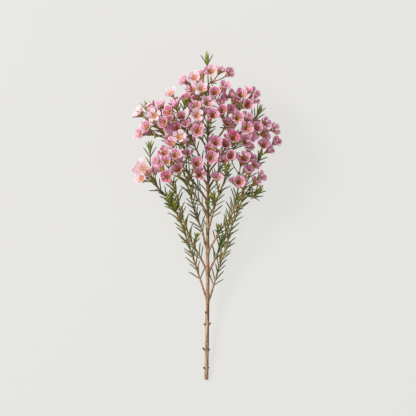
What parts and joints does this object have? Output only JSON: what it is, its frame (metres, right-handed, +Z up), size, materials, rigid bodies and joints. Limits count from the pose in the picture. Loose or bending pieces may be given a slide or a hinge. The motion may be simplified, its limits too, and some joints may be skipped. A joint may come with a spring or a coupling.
{
  "type": "waxflower stem",
  "caption": "Cut waxflower stem lying on its side: a slim woody stem with needle-leaved side branches and a loose rounded head of small five-petalled pink blooms.",
  "frame": {"origin": "middle of the lying stem's footprint box, on the surface it lies on", "axes": "+Y from the cut end to the flowers, +Z up from the surface, +X to the right seen from above with the flowers at the far end"},
  "size_m": [0.1788, 0.4, 0.0981],
  "materials": {
    "bark": "matte",
    "foliage": "satin",
    "flowers": "matte"
  },
  "bodies": {
    "root": {"main_stem": "bark", "leafy_branch_01": "foliage", "leafy_branch_02": "foliage", "leafy_branch_03": "foliage", "leafy_branch_04": "foliage", "leafy_branch_05": "foliage", "leafy_branch_06": "foliage", "leafy_branch_07": "foliage", "leafy_branch_08": "foliage", "leafy_branch_09": "foliage", "leafy_branch_10": "foliage", "leafy_branch_11": "foliage", "leafy_branch_12": "foliage", "leafy_branch_13": "foliage", "leafy_branch_14": "foliage", "leafy_branch_15": "foliage", "flower_cluster_01": "flowers", "flower_cluster_02": "flowers", "flower_cluster_03": "flowers", "flower_cluster_04": "flowers", "flower_cluster_05": "flowers", "flower_cluster_06": "flowers", "flower_cluster_07": "flowers", "flower_cluster_08": "flowers", "flower_cluster_09": "flowers", "flower_cluster_10": "flowers", "flower_cluster_11": "flowers", "flower_cluster_12": "flowers", "flower_cluster_13": "flowers", "flower_cluster_14": "flowers", "flower_cluster_15": "flowers", "flower_cluster_16": "flowers", "flower_cluster_17": "flowers", "flower_cluster_18": "flowers", "flower_cluster_19": "flowers", "flower_cluster_20": "flowers", "flower_cluster_21": "flowers", "flower_cluster_22": "flowers", "flower_cluster_23": "flowers", "flower_cluster_24": "flowers", "flower_cluster_25": "flowers", "flower_cluster_26": "flowers", "flower_cluster_27": "flowers", "flower_cluster_28": "flowers", "flower_cluster_29": "flowers", "flower_cluster_30": "flowers", "flower_cluster_31": "flowers", "flower_cluster_32": "flowers", "flower_cluster_33": "flowers", "flower_cluster_34": "flowers", "flower_cluster_35": "flowers", "flower_cluster_36": "flowers", "flower_cluster_37": "flowers", "flower_cluster_38": "flowers", "flower_cluster_39": "flowers", "flower_cluster_40": "flowers", "flower_cluster_41": "flowers", "flower_cluster_42": "flowers", "flower_cluster_43": "flowers", "flower_cluster_44": "flowers"}
  },
  "joints": []
}
